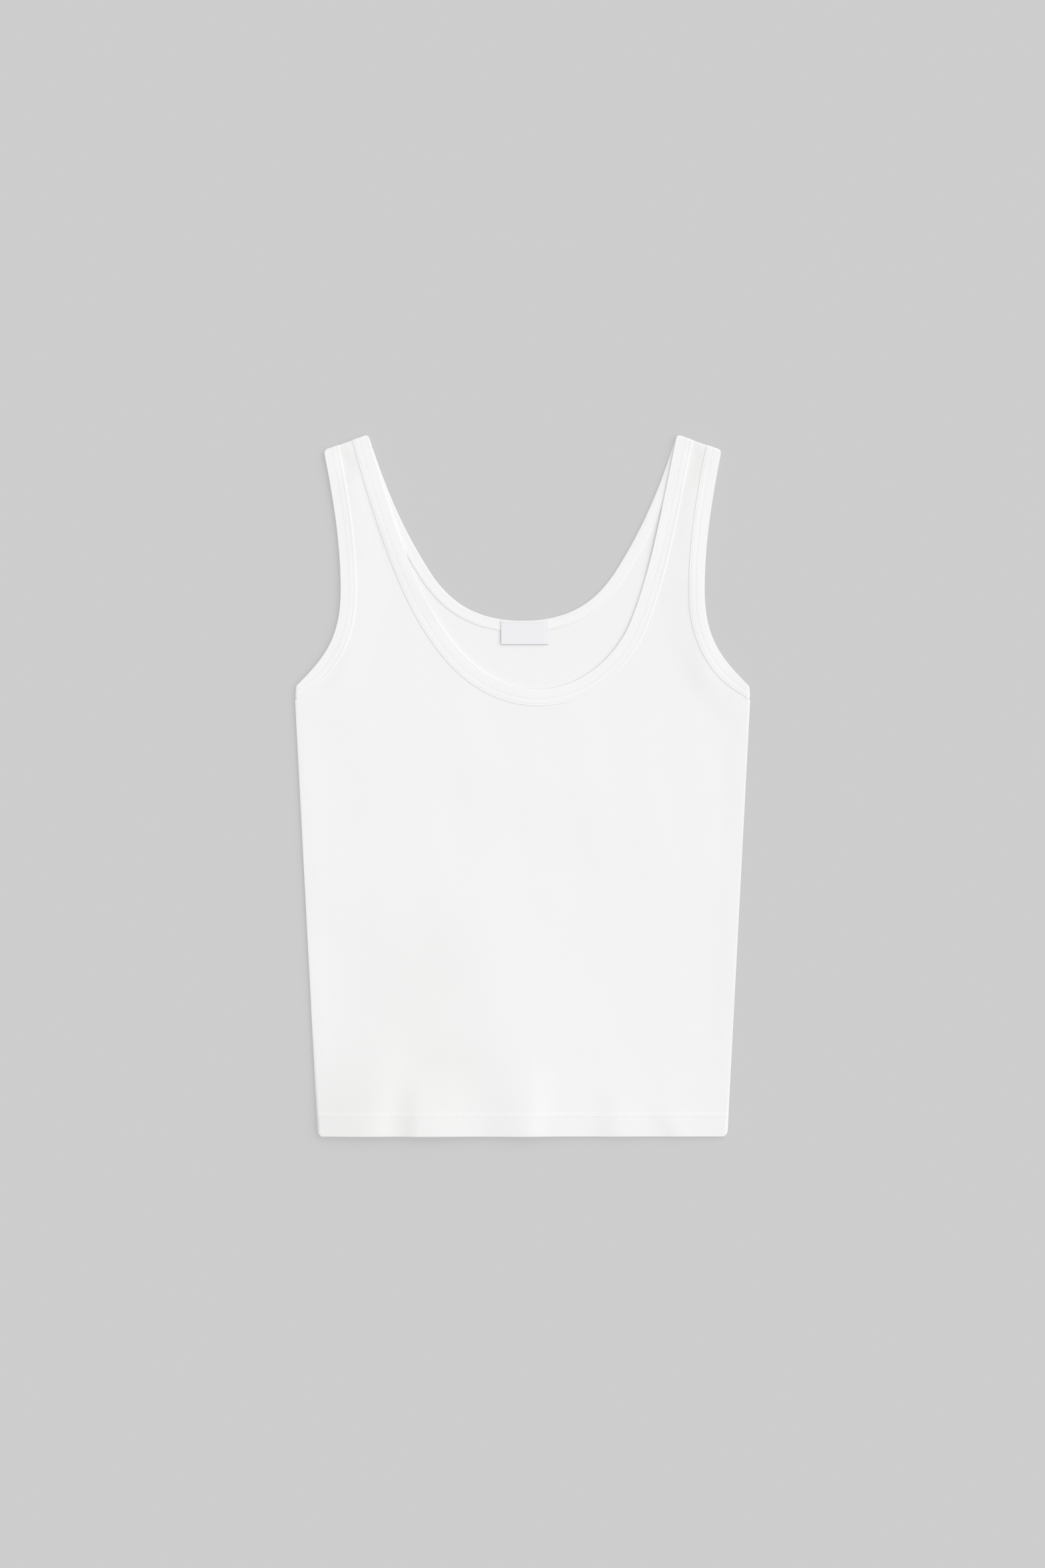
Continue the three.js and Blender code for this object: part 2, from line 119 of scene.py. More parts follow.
def cut_edge(start, curves, side):
    """A cut edge from its lowest point to the shoulder: Bezier curves end to end, each point
    (1-t)^3 a + 3(1-t)^2 t b + 3(1-t) t^2 c + t^3 d, with its share of the edge's length first.
    The left side is the right one mirrored."""
    t = np.linspace(0.0, 1.0, 401)[:, None]
    pieces, a = [], np.array(start)
    for b, c, d in np.array(curves, float):
        pieces.append((1 - t) ** 3 * a + 3 * (1 - t) ** 2 * t * b + 3 * (1 - t) * t**2 * c + t**3 * d)
        a = d
    points = np.concatenate(pieces) * (side, 1.0)
    steps = np.linalg.norm(np.diff(points, axis=0), axis=1)
    share = np.concatenate([[0.0], np.cumsum(steps)]) / steps.sum()
    return np.column_stack([share, points])


def on_edge(edge, share):
    """The points at shares of an edge's length, by linear interpolation."""
    share = np.clip(share, 0.0, 1.0)
    return np.stack([np.interp(share, edge[:, 0], edge[:, k]) for k in (1, 2)], axis=-1)


BACK_NECK_CURVES = [
    ((42.0, 143.3), (65.5, 160.5), (83.3, 190.2)),
    ((107.4, 228.5), (121.6, 266.0), SHOULDER_INNER),
]
ARMHOLE_CURVES = [
    ((174.2, 109.3), (158.4, 126.0), (158.4, 170.0)),
    ((158.4, 212.0), (165.4, 252.0), SHOULDER_OUTER),
]
BACK_NECK_LOW = (0.0, 143.3)
UNDERARM = (197.8, 85.6)
SIDES = (1.0, -1.0)
BACK_NECK_EDGE = {side: cut_edge(BACK_NECK_LOW, BACK_NECK_CURVES, side) for side in SIDES}
ARM_EDGE = {side: cut_edge(UNDERARM, ARMHOLE_CURVES, side) for side in SIDES}


def band_path(edge, side, share, width, outwards):
    """Places along a binding: its folded edge, the direction from there across it to the seam,
    and its width. Across is square to the edge and turns to the shoulder's fold near the top."""
    step, square_from = 0.002, 0.85
    along = unit(on_edge(edge, share + step) - on_edge(edge, share - step))
    turn = side if outwards else -side
    across = np.stack([along[:, 1], -along[:, 0]], axis=-1) * turn
    fold = DOWN_SHOULDER * (side, 1.0) * (1 if outwards else -1)
    t = smooth((share - square_from) / (1 - square_from))[:, None]
    return on_edge(edge, share), unit(between(across, fold, t)), np.broadcast_to(width, share.shape)


def back_neck_path(side, share):
    """The neck binding on the back, which shows narrower there than over the shoulder."""
    narrow_to = 0.72
    widening = smooth((share - narrow_to) / (1 - narrow_to))
    width = between(NECK_BAND_BACK, NECK_BAND_FRONT, widening)
    return band_path(BACK_NECK_EDGE[side], side, share, width, True)


def arm_path(side, share):
    """An armhole binding, whose end at the underarm turns to lie along the side seam."""
    side_end, lean = 0.14, -0.02
    t = 1 - smooth(share / side_end)
    width = between(ARM_BAND, ARM_BAND_END, t)
    place, across, width = band_path(ARM_EDGE[side], side, share, width, False)
    return place, unit(between(across, np.array([side * lean, -1.0]), t[:, None])), width


def side_half(y):
    """Half the garment's width: a straight line from hem to chest, less a round corner at the hem."""
    straight = between(HEM_HALF, CHEST_HALF, (y - HEM_Y) / (CHEST_Y - HEM_Y))
    up = np.clip((y - HEM_Y) / HEM_CORNER, 0.0, 1.0)
    return straight - HEM_CORNER * (1 - np.sqrt(1 - (1 - up) ** 2))


def distance_to(line, x, y):
    """Shortest distance to a line of points: the foot of the perpendicular on each stretch, held
    between the stretch's ends, and the least of them all."""
    line = np.asarray(line, float)
    p = np.stack([x, y], axis=-1)[..., None, :]
    a, run = line[:-1], np.diff(line, axis=0)
    t = np.clip(((p - a) * run).sum(-1) / (run * run).sum(-1), 0.0, 1.0)
    return np.linalg.norm(p - a - t[..., None] * run, axis=-1).min(axis=-1)


SIDE_LINE = [(HEM_HALF, HEM_Y), (CHEST_HALF, CHEST_Y)]
SHOULDER_LINE = [SHOULDER_INNER, SHOULDER_OUTER]


def cloth_wall(y):
    """Thickness of a panel: one layer, and two in the turned-up hem, with a short slope."""
    return between(HEM_WALL, WALL, smooth((y - HEM_Y - HEM_DEPTH) / HEM_SLOPE + 0.5))


def side_tuck(x, y):
    """1 at the side seam, falling smoothly to 0 where the two layers are free of each other."""
    return np.where(y < UNDERARM[1], 1 - smooth(distance_to(SIDE_LINE, np.abs(x), y) / SIDE_TUCK), 0.0)


def soft_corners(points):
    """Rounds the straps' top corners. In a corner's own square, whose sides run along the two
    edges that meet, p and q fall from 1 at the edges to 0 inside, and both are multiplied by
    max(p, q) / hypot(p, q), which lays the square's edge on a quarter circle. The square reaches
    a little past the edges, to p and q of 1.5."""
    near_top, reach = 0.94, 1.5
    points = points.copy()
    rise = FOLD_CENTRE_Z * UP_FROM_SHOULDER
    neck_down = unit(on_edge(BACK_NECK_EDGE[1.0], near_top) - SHOULDER_INNER)
    arm_down = unit(on_edge(ARM_EDGE[1.0], near_top) - SHOULDER_OUTER)
    for corner, inwards, down in (
        (SHOULDER_INNER + rise, DOWN_SHOULDER, neck_down),
        (SHOULDER_OUTER + rise, -DOWN_SHOULDER, arm_down),
    ):
        for side in SIDES:
            axes = np.column_stack([inwards * (side, 1.0), down * (side, 1.0)])
            local = (points[..., :2] - corner * (side, 1.0)) @ np.linalg.inv(axes).T
            p = 1 - local / STRAP_CORNER
            inside = (p > 0).all(-1) & (p < reach).all(-1)
            held = np.clip(p, 0.0, None)
            far = np.hypot(held[..., 0], held[..., 1])
            shrink = np.where(far > 0, held.max(-1) / np.maximum(far, 1e-9), 1.0)
            moved = (1 - p * shrink[..., None]) * STRAP_CORNER @ axes.T + corner * (side, 1.0)
            points[..., :2] = np.where(inside[..., None], moved, points[..., :2])
    return points


def half_panel(side, neck, rows_to_neck):
    """One half of a panel, its rows and columns of points in plan, closer together at its edges.
    Below the neck a row runs from the middle to the side seam, above it from the neck's seam to
    the armhole's. Up to a little above the neck's lowest point a row leaves the middle level, its
    height going with the square of the share across."""
    ends = np.array([0.0, 0.004, 0.009, 0.016, 0.026])
    columns = np.concatenate([ends, np.linspace(0.04, 0.96, PANEL_COLUMNS), 1 - ends[::-1]])
    share = np.linspace(0.0, 1.0, PANEL_ROWS_UP)
    seams = [
        place + across * (width[:, None] - UNDER_BINDING)
        for place, across, width in (neck(share), arm_path(side, share))
    ]
    fine = np.array([HEM_ROUND, 1.2, 1.8, 2.6, 4.0])
    up = np.concatenate([fine, np.linspace(5.5, 16.0, 6), np.linspace(17.0, 25.0, 14)])
    f = np.linspace(0.0, 1.0, rows_to_neck)[1:-1]
    inner_y = np.concatenate([HEM_Y + up, between(HEM_Y + up[-1], seams[0][0, 1], f)])
    outer_y = np.concatenate([HEM_Y + up, between(HEM_Y + up[-1], seams[1][0, 1], f)])
    middle = seams[0][0, 0] * np.concatenate([np.zeros(len(up)), f**2])
    inner = np.concatenate([np.column_stack([middle, inner_y]), seams[0]])
    edge = np.column_stack([side * (side_half(outer_y) - EDGE_ROUND), outer_y])
    outer = np.concatenate([edge, seams[1]])
    x = between(inner[:, 0, None], outer[:, 0, None], columns)
    level = 1 - smooth(np.concatenate([np.zeros(len(inner_y)), share]) / LEVEL_ROWS)[:, None]
    y = between(inner[:, 1, None], outer[:, 1, None], between(columns, columns**2, level))
    return np.dstack([x, y]), len(inner_y)


def over_shoulder(row, is_front, degrees):
    """A panel's last rows, turned over the shoulder's fold. The front starts at the inner face of
    the bindings and the back at their outer one, and both come to the middle of their wall, where
    they meet."""
    angle = math.radians(degrees)
    along = unit(row[-1] - row[0])
    up = np.array([-along[1], along[0]])
    up = up if up[1] > 0 else -up
    share = angle / math.pi if is_front else 1 - angle / math.pi
    least = LAYER_GAP / 2 + (BAND_WALL - WALL) * share
    faces = []
    for r in (least + WALL, least):
        rise = r * math.cos(angle) * (1 if is_front else -1)
        flat = row + up * r * math.sin(angle)
        faces.append(np.column_stack([flat, np.full(len(flat), FOLD_CENTRE_Z + rise)]))
    return faces if is_front else faces[::-1]


def panel_mesh(name, neck, rows_to_neck, is_front, underside, thickness):
    """A closed cloth panel: both halves' faces on one grid, joined at the middle below the neck.
    The rim runs along the right half's hem, side, shoulder and neck, then back along the left's."""
    upper, lower, flat, index, quads = [], [], [], [], []
    for side in SIDES:
        plan, neck_row = half_panel(side, neck[side], rows_to_neck)
        x, y = plan[..., 0], plan[..., 1]
        low = underside(x, y)
        faces = [np.dstack([x, y, low + thickness(x, y)]), np.dstack([x, y, low])]
        cloth = plan.copy()
        for degrees in TURN_DEGREES:
            turned = over_shoulder(plan[-1], is_front, degrees)
            faces = [np.concatenate([face, row[None]]) for face, row in zip(faces, turned)]
            shift = math.radians(degrees) * FOLD_CENTRE_Z * UP_FROM_SHOULDER * (side, 1.0)
            cloth = np.concatenate([cloth, (plan[-1] + shift)[None]])
        rows, columns = faces[0].shape[:2]
        numbers = np.arange(rows * columns).reshape(rows, columns) + sum(len(u) for u in upper)
        if index:
            numbers[: neck_row + 1, 0] = index[0][: neck_row + 1, 0]
        upper.append(faces[0].reshape(-1, 3))
        lower.append(faces[1].reshape(-1, 3))
        flat.append(cloth.reshape(-1, 2))
        index.append(numbers)
        corners = [numbers[:-1, :-1], numbers[:-1, 1:], numbers[1:, 1:], numbers[1:, :-1]]
        corners = corners if side > 0 else corners[::-1]
        quads.append(np.stack(corners, axis=-1).reshape(-1, 4))
    right, left = index
    rim = np.concatenate([
        right[0, :], right[1:, -1], right[-1, -2::-1], right[-2 : neck_row - 1 : -1, 0],
        left[neck_row + 1 :, 0], left[-1, 1:], left[-2::-1, -1], left[0, -2:0:-1],
    ])
    return shell_mesh(name, *map(np.concatenate, (upper, lower, flat, quads)), rim)


def shell_mesh(name, upper, lower, flat, quads, rim):
    """A wall of cloth between two faces, closed round its rim. A rim point at angle a is the
    wall's middle, plus half the wall times sin(a), plus 0.9 of that half out times cos(a)."""
    bulge = 0.9
    upper, lower = soft_corners(upper), soft_corners(lower)
    count = len(upper)
    middle, half = (upper[rim] + lower[rim]) / 2, (upper[rim] - lower[rim]) / 2
    along = unit(np.roll(middle, -1, axis=0) - np.roll(middle, 1, axis=0))
    out = unit(np.cross(along, half)) * np.linalg.norm(half, axis=1, keepdims=True) * bulge
    angles = np.radians(RIM_DEGREES)[::-1, None, None]
    rings = middle + out * np.cos(angles) + half * np.sin(angles)
    numbers = 2 * count + np.arange(rings.shape[0] * len(rim)).reshape(rings.shape[0], len(rim))
    numbers = np.concatenate([rim[None], numbers, count + rim[None]])
    ahead = np.roll(numbers, -1, axis=1)
    edge = np.stack([numbers[:-1], numbers[1:], ahead[1:], ahead[:-1]], axis=-1).reshape(-1, 4)
    points = np.concatenate([upper, lower, rings.reshape(-1, 3)])
    cloth = np.concatenate([flat, flat, np.tile(flat[rim], (rings.shape[0], 1))])
    faces = np.concatenate([quads, count + quads[:, ::-1], edge])
    used, faces = np.unique(faces, return_inverse=True)
    return cloth_object(name, points[used], faces.reshape(-1, 4), cloth[used])


def cloth_object(name, points, faces, cloth):
    """Puts points, four-sided faces and the cloth's own map into a mesh. Points are millimetres
    and become metres, and the map holds millimetres along and across the knitting."""
    mesh = bpy.data.meshes.new(name)
    mesh.vertices.add(len(points))
    mesh.vertices.foreach_set("co", (points * MM).astype(np.float32).ravel())
    mesh.loops.add(faces.size)
    mesh.loops.foreach_set("vertex_index", faces.astype(np.int32).ravel())
    mesh.polygons.add(len(faces))
    mesh.polygons.foreach_set("loop_start", np.arange(0, faces.size, 4, dtype=np.int32))
    mesh.polygons.foreach_set("use_smooth", np.ones(len(faces), bool))
    mesh.update(calc_edges=True)
    knit = mesh.uv_layers.new(name="knit")
    knit.data.foreach_set("uv", cloth[faces.ravel()].astype(np.float32).ravel())
    piece = bpy.data.objects.new(name, mesh)
    bpy.context.scene.collection.objects.link(piece)
    return piece


def new_group(name, inputs, outputs):
    """An empty shader node group with named number sockets, and its two end nodes."""
    group = bpy.data.node_groups.new(name, "ShaderNodeTree")
    for socket, kind in inputs:
        group.interface.new_socket(socket, in_out="INPUT", socket_type=kind)
    for socket, kind in outputs:
        group.interface.new_socket(socket, in_out="OUTPUT", socket_type=kind)
    return group, group.nodes.new("NodeGroupInput"), group.nodes.new("NodeGroupOutput")


def maths(tree, operation, *values):
    """A Math node. A value is a number, or the socket that gives it."""
    node = tree.nodes.new("ShaderNodeMath")
    node.operation = operation
    for socket, value in zip(node.inputs, values):
        if isinstance(value, (int, float)):
            socket.default_value = value
        else:
            tree.links.new(value, socket)
    return node.outputs[0]


def colour_mix(tree, a, b, factor):
    """The colour a share factor of the way from a to b. Each colour is a value, or the socket
    that gives it, and the factor is a socket."""
    node = tree.nodes.new("ShaderNodeMix")
    node.data_type = "RGBA"
    for name, colour in (("A", a), ("B", b)):
        if isinstance(colour, tuple):
            node.inputs[name].default_value = colour
        else:
            tree.links.new(colour, node.inputs[name])
    tree.links.new(factor, node.inputs["Factor"])
    return node.outputs["Result"]


def bump_from(tree, height, strength, relief, shader):
    """Lets the shader's normal follow a height, whose whole range is so many millimetres."""
    bump = tree.nodes.new("ShaderNodeBump")
    bump.inputs["Strength"].default_value = strength
    bump.inputs["Distance"].default_value = relief * MM
    tree.links.new(height, bump.inputs["Height"])
    tree.links.new(bump.outputs["Normal"], shader.inputs["Normal"])


def rib_knit_group():
    """Rib jersey. Each wale has two legs, a rounded ridge at a quarter of its width either side of
    its middle, 1 - (4|x| - 1)^2, and along them each stitch swells as a cosine, slanting with x.
    The valley output, one less that height, is painted shade for the hollows between the legs."""
    group, given, made = new_group(
        "rib_knit",
        [("Cloth", "NodeSocketVector"), ("Wale", "NodeSocketFloat"), ("Course", "NodeSocketFloat")],
        [("Height", "NodeSocketFloat"), ("ValleyShade", "NodeSocketFloat")],
    )
    place = group.nodes.new("ShaderNodeSeparateXYZ")
    group.links.new(given.outputs["Cloth"], place.inputs[0])
    across = maths(group, "DIVIDE", place.outputs["X"], given.outputs["Wale"])
    x = maths(group, "ABSOLUTE", maths(group, "SUBTRACT", maths(group, "FRACT", across), 0.5))
    off = maths(group, "ABSOLUTE", maths(group, "MULTIPLY_ADD", x, 4.0, -1.0))
    leg = maths(group, "SUBTRACT", 1.0, maths(group, "POWER", off, 2.0))
    along = maths(group, "DIVIDE", place.outputs["Y"], given.outputs["Course"])
    slant = maths(group, "MULTIPLY_ADD", x, 1.1, along)
    swell = maths(group, "COSINE", maths(group, "MULTIPLY", slant, 2 * math.pi))
    swell = maths(group, "MULTIPLY_ADD", swell, 0.22, 0.78)
    group.links.new(maths(group, "MULTIPLY", leg, swell), made.inputs["Height"])
    # painted shade: one less the height, darker in the knit's hollows
    valley_shade = maths(group, "SUBTRACT", 1.0, maths(group, "MULTIPLY", leg, swell))
    group.links.new(valley_shade, made.inputs["ValleyShade"])
    return group


def yarn_noise_group():
    """Uneven yarn: noise drawn out along the courses for thick and thin yarn, and a broad soft
    noise for cloth that isn't quite even."""
    group, given, made = new_group(
        "uneven_yarn",
        [("Cloth", "NodeSocketVector"), ("Fine", "NodeSocketFloat"), ("Broad", "NodeSocketFloat")],
        [("Slub", "NodeSocketFloat"), ("Cloudy", "NodeSocketFloat")],
    )
    stretch = group.nodes.new("ShaderNodeVectorMath")
    stretch.operation = "MULTIPLY"
    stretch.inputs[1].default_value = (0.25, 1.0, 1.0)
    group.links.new(given.outputs["Cloth"], stretch.inputs[0])
    for socket, source, name in (
        ("Fine", stretch.outputs[0], "Slub"), ("Broad", given.outputs["Cloth"], "Cloudy"),
    ):
        noise = group.nodes.new("ShaderNodeTexNoise")
        noise.inputs["Detail"].default_value = 3.0
        noise.inputs["Roughness"].default_value = 0.55
        group.links.new(source, noise.inputs["Vector"])
        group.links.new(given.outputs[socket], noise.inputs["Scale"])
        group.links.new(noise.outputs["Fac"], made.inputs[name])
    return group


RIB_KNIT = rib_knit_group()
UNEVEN_YARN = yarn_noise_group()


def jersey_material(name, colour, shade, wale, course, relief):
    """Matt cotton jersey. The yarn's valleys are a little darker than its crown, which is painted
    shade, uneven yarn mixes the two whites, and the knitting's relief is a bump of so many
    millimetres. A piece's own attribute, where it has one, mixes in a darker white: painted shade
    in the straps' dips, and a greyer tone at the lower left of the front."""
    material = bpy.data.materials.new(name)
    material.use_nodes = True
    tree = material.node_tree
    shader = tree.nodes["Principled BSDF"]
    shader.inputs["Sheen Weight"].default_value = 0.12
    shader.inputs["Sheen Roughness"].default_value = 0.6
    shader.inputs["Specular IOR Level"].default_value = 0.25
    cloth = tree.nodes.new("ShaderNodeUVMap")
    cloth.uv_map = "knit"
    knit = tree.nodes.new("ShaderNodeGroup")
    knit.node_tree = RIB_KNIT
    knit.inputs["Wale"].default_value = wale
    knit.inputs["Course"].default_value = course
    yarn = tree.nodes.new("ShaderNodeGroup")
    yarn.node_tree = UNEVEN_YARN
    yarn.inputs["Fine"].default_value = 0.9
    yarn.inputs["Broad"].default_value = 0.02
    for node in (knit, yarn):
        tree.links.new(cloth.outputs["UV"], node.inputs["Cloth"])
    # painted shade in the knit's valleys, then uneven yarn, darken the colour
    darkness = maths(tree, "MULTIPLY_ADD", knit.outputs["ValleyShade"], 0.35, 0.0)
    darkness = maths(tree, "MULTIPLY_ADD", yarn.outputs["Slub"], 0.35, darkness)
    darkness = maths(tree, "MULTIPLY_ADD", yarn.outputs["Cloudy"], 0.4, darkness)
    knit_colour = colour_mix(tree, colour, shade, darkness)
    # painted shade in the straps' dips, and a greyer tone at the lower left, read from the piece
    painted_dark = tree.nodes.new("ShaderNodeAttribute")
    painted_dark.attribute_name = "painted_dark"
    darkened_colour = colour_mix(tree, knit_colour, JERSEY_PAINTED_DARK, painted_dark.outputs["Fac"])
    tree.links.new(darkened_colour, shader.inputs["Base Color"])
    roughness = maths(tree, "MULTIPLY_ADD", yarn.outputs["Slub"], 0.08, 0.86)
    tree.links.new(roughness, shader.inputs["Roughness"])
    height = maths(tree, "MULTIPLY_ADD", yarn.outputs["Slub"], 0.35, knit.outputs["Height"])
    bump_from(tree, height, 0.6, relief, shader)
    return material


JERSEY = jersey_material("white_rib_jersey", JERSEY_WHITE, JERSEY_SHADE, WALE, COURSE, 0.09)


def back_underside(x, y):
    """The back lies flat on the table, and lifts at the side seam to meet the front."""
    return side_tuck(x, y) * (SEAM_Z - SEAM_WALL - SEAM_PLAY)


def back_thickness(x, y):
    """The cloth's wall, pressed thinner in the side seam."""
    return between(cloth_wall(y), SEAM_WALL, side_tuck(x, y))


back = panel_mesh(
    "back_panel",
    {side: (lambda share, side=side: back_neck_path(side, share)) for side in SIDES},
    BACK_ROWS_TO_NECK, False, back_underside, back_thickness,
)
back.data.materials.append(JERSEY)
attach(back, "root")
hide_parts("back")

# The front is a second panel of the same jersey, cut lower at the neck and laid on the back. It
# rises over the bindings, seams and hem under it, and lies in soft waves. A row of white thread
# holds its turned-up hem.
FRONT_ROWS_TO_NECK = 140
FRONT_NECK_LOW = (14.4, 84.0)
FRONT_NECK_CURVES = {
    1.0: [
        ((52.4, 84.0), (83.8, 114.3), (95.3, 146.3)),
        ((113.5, 193.4), (121.6, 246.3), SHOULDER_INNER),
    ],
    -1.0: [
        ((34.0, 84.0), (62.6, 122.4), (80.8, 155.8)),
        ((102.4, 195.3), (120.8, 257.0), SHOULDER_INNER),
    ],
}
FRONT_NECK_EDGE = {
    side: cut_edge((side * FRONT_NECK_LOW[0], FRONT_NECK_LOW[1]), FRONT_NECK_CURVES[side], side)
    for side in SIDES
}
FOLDS = [  # a ridge's two ends, its spreads to the left and right, its height, and 1 if it dies out
    ((-134, -296), (-116, -190), 38, 22, 4.4, 1),  # waves of the hem, from the left
    ((-90, -300), (-88, -238), 15, 46, 4.8, 1),
    ((3, -300), (9, -215), 30, 15, 3.2, 1),
    ((82, -298), (80, -250), 13, 20, 1.6, 1),
    ((134, -300), (110, -268), 9, 14, 1.3, 1),
    ((14, -290), (18, -80), 40, 40, 1.2, 1),  # a long low fold up the middle
    ((-30, -205), (-42, -110), 60, 40, 1.8, 0),  # broad swells
    ((-104, -240), (-112, -110), 40, 40, 1.0, 0),
    ((-90, 30), (110, -30), 55, 55, 0.6, 0),
    ((160, 96), (150, 176), 12, 12, 1.0, 0),  # beside the armholes
    ((-156, 100), (-148, 182), 13, 13, 0.4, 0),
    ((146, 200), (150, 262), 9, 9, 0.6, 0),  # on the straps
    ((-144, 205), (-150, 268), 9, 9, 0.5, 0),
]
DIPS = [  # in the straps' cloth near the shoulder's fold: two ends, spread and depth
    ((151, 290), (147, 268), 6.5, 0.7),
    ((-158, 292), (-151, 276), 6.5, 0.7),
]
DIP_START = 9.0  # distance from the fold over which a dip deepens
PAINTED_DARK_PLACES = [  # two ends, spread and amount; the last two are painted shade in the straps' dips, the first two a greyer tone at the lower left
    ((-150, -280), (-70, -262), 42, 0.75),
    ((-100, -200), (-80, -150), 42, 0.4),
    ((152, 284), (148, 266), 9, 0.9),
    ((-158, 286), (-152, 272), 9, 0.75),
]
SLACK_HEIGHT = 0.11
SLACK_WAVES = 9
SLACK_LENGTHS = (38, 110)  # the shortest and the longest of those waves
OVER_ARM_BAND = (20, 22)  # how far the front stays raised by it, and then takes to come down
OVER_NECK_BAND = (15, 14)  # the same for the binding of the back's neck
OVER_HEM = (HEM_DEPTH + 2, 45)  # for the back's hem
OVER_SIDE_SEAM = (6, 14)  # and for the side seams
ALLOWANCE = 0.3  # height of the side seam's allowances inside
CALM = (4, 30)  # distance from the shoulder's fold where ridges begin, and over which they grow
HEM_ROW = 17.4  # of stitching, above the hem's edge
HEM_ROW_INSET = 3  # from the sides
STITCH_GROOVE = 0.13
GROOVE_REACH = 0.7  # half width of that groove
STITCH_PITCH = 2.7
STITCH_LENGTH = 2.3
THREAD = 0.42
THREAD_RISE = 0.3  # share of its thickness that a thread's middle stands above its groove's floor
THREAD_WHITE = (0.905, 0.905, 0.903, 1.0)
ARM_LINE = on_edge(ARM_EDGE[1.0], np.linspace(0.0, 1.0, 31))
BACK_NECK_LINE = on_edge(BACK_NECK_EDGE[1.0], np.linspace(0.0, 1.0, 31))


def nearness(distance, full, fade):
    """1 up to the full distance, then falling smoothly to 0 over the fade."""
    return 1 - smooth((distance - full) / fade)


def slack(x, y):
    """Cloth that isn't pulled quite flat: long waves of the same height, each a sine along its own
    direction with its own length and phase."""
    chance = np.random.default_rng(11)
    total = np.zeros_like(x)
    for _ in range(SLACK_WAVES):
        direction, length = chance.uniform(0, math.pi), chance.uniform(*SLACK_LENGTHS)
        phase = chance.uniform(0, 7)
        along = x * math.cos(direction) + y * math.sin(direction)
        total += np.sin(along * 2 * math.pi / length + phase)
    return total * SLACK_HEIGHT / math.sqrt(SLACK_WAVES)


def front_height(x, y):
    """Height of the front's underside: one layer and a gap, plus what lies under it, plus slack
    and ridges of height exp(-(beside / spread)^2 - (beyond / mean spread)^2), with a spread for
    either side and beyond measured past a ridge's ends. A ridge may die out towards its second
    end, and all do towards the shoulder. Dips depth exp(-(distance / spread)^2) are taken off."""
    across = np.abs(x)
    near_band = np.maximum(
        nearness(distance_to(ARM_LINE, across, y), *OVER_ARM_BAND),
        nearness(distance_to(BACK_NECK_LINE, across, y), *OVER_NECK_BAND),
    )
    hem = (HEM_WALL - WALL) * nearness(y - HEM_Y, *OVER_HEM)
    allowance = ALLOWANCE * nearness(distance_to(SIDE_LINE, across, y), *OVER_SIDE_SEAM)
    under = np.maximum(np.maximum((BAND_WALL - WALL) * near_band, hem), allowance)
    ridges = slack(x, y)
    for (x0, y0), (x1, y1), left, right, height, dying in FOLDS:
        length = math.hypot(x1 - x0, y1 - y0)
        dx, dy = (x1 - x0) / length, (y1 - y0) / length
        along, beside = (x - x0) * dx + (y - y0) * dy, (x - x0) * dy - (y - y0) * dx
        beyond = 2 * (along - np.clip(along, 0.0, length)) / (left + right)
        away = (beside / np.where(beside > 0, right, left)) ** 2 + beyond**2
        ridges = ridges + height * (1 - dying * smooth(along / length)) * np.exp(-away)
    from_fold = distance_to(SHOULDER_LINE, across, y)
    dips = smooth(from_fold / DIP_START) * sum(
        depth * np.exp(-((distance_to(ends, x, y) / spread) ** 2)) for *ends, spread, depth in DIPS
    )
    calm = smooth((from_fold - CALM[0]) / CALM[1])
    return WALL + LAYER_GAP + under + ridges * calm - dips


def mark_painted_dark(piece, places):
    """Gives each point of a piece the sum over the places of amount exp(-(distance / spread)^2),
    as the attribute that the jersey's colour reads, which darkens it there."""
    points = np.empty(len(piece.data.vertices) * 3, np.float32)
    piece.data.vertices.foreach_get("co", points)
    x, y, _ = points.reshape(-1, 3).T / MM
    amount = sum(
        much * np.exp(-((distance_to(ends, x, y) / spread) ** 2)) for *ends, spread, much in places
    )
    painted_dark = piece.data.attributes.new("painted_dark", "FLOAT", "POINT")
    painted_dark.data.foreach_set("value", amount.astype(np.float32))


def front_underside(x, y):
    """The front's height, drawn down on to the back at the side seam."""
    return between(front_height(x, y), SEAM_Z, side_tuck(x, y))


def front_thickness(x, y):
    """The cloth's wall, with a groove exp(-(distance / half width)^2) at the row of hem stitches."""
    groove = np.exp(-(((y - HEM_Y - HEM_ROW) / GROOVE_REACH) ** 2))
    return between(cloth_wall(y) - STITCH_GROOVE * groove, SEAM_WALL, side_tuck(x, y))


def front_neck_path(side, share):
    """The neck binding on the front, of one width."""
    return band_path(FRONT_NECK_EDGE[side], side, share, NECK_BAND_FRONT, True)


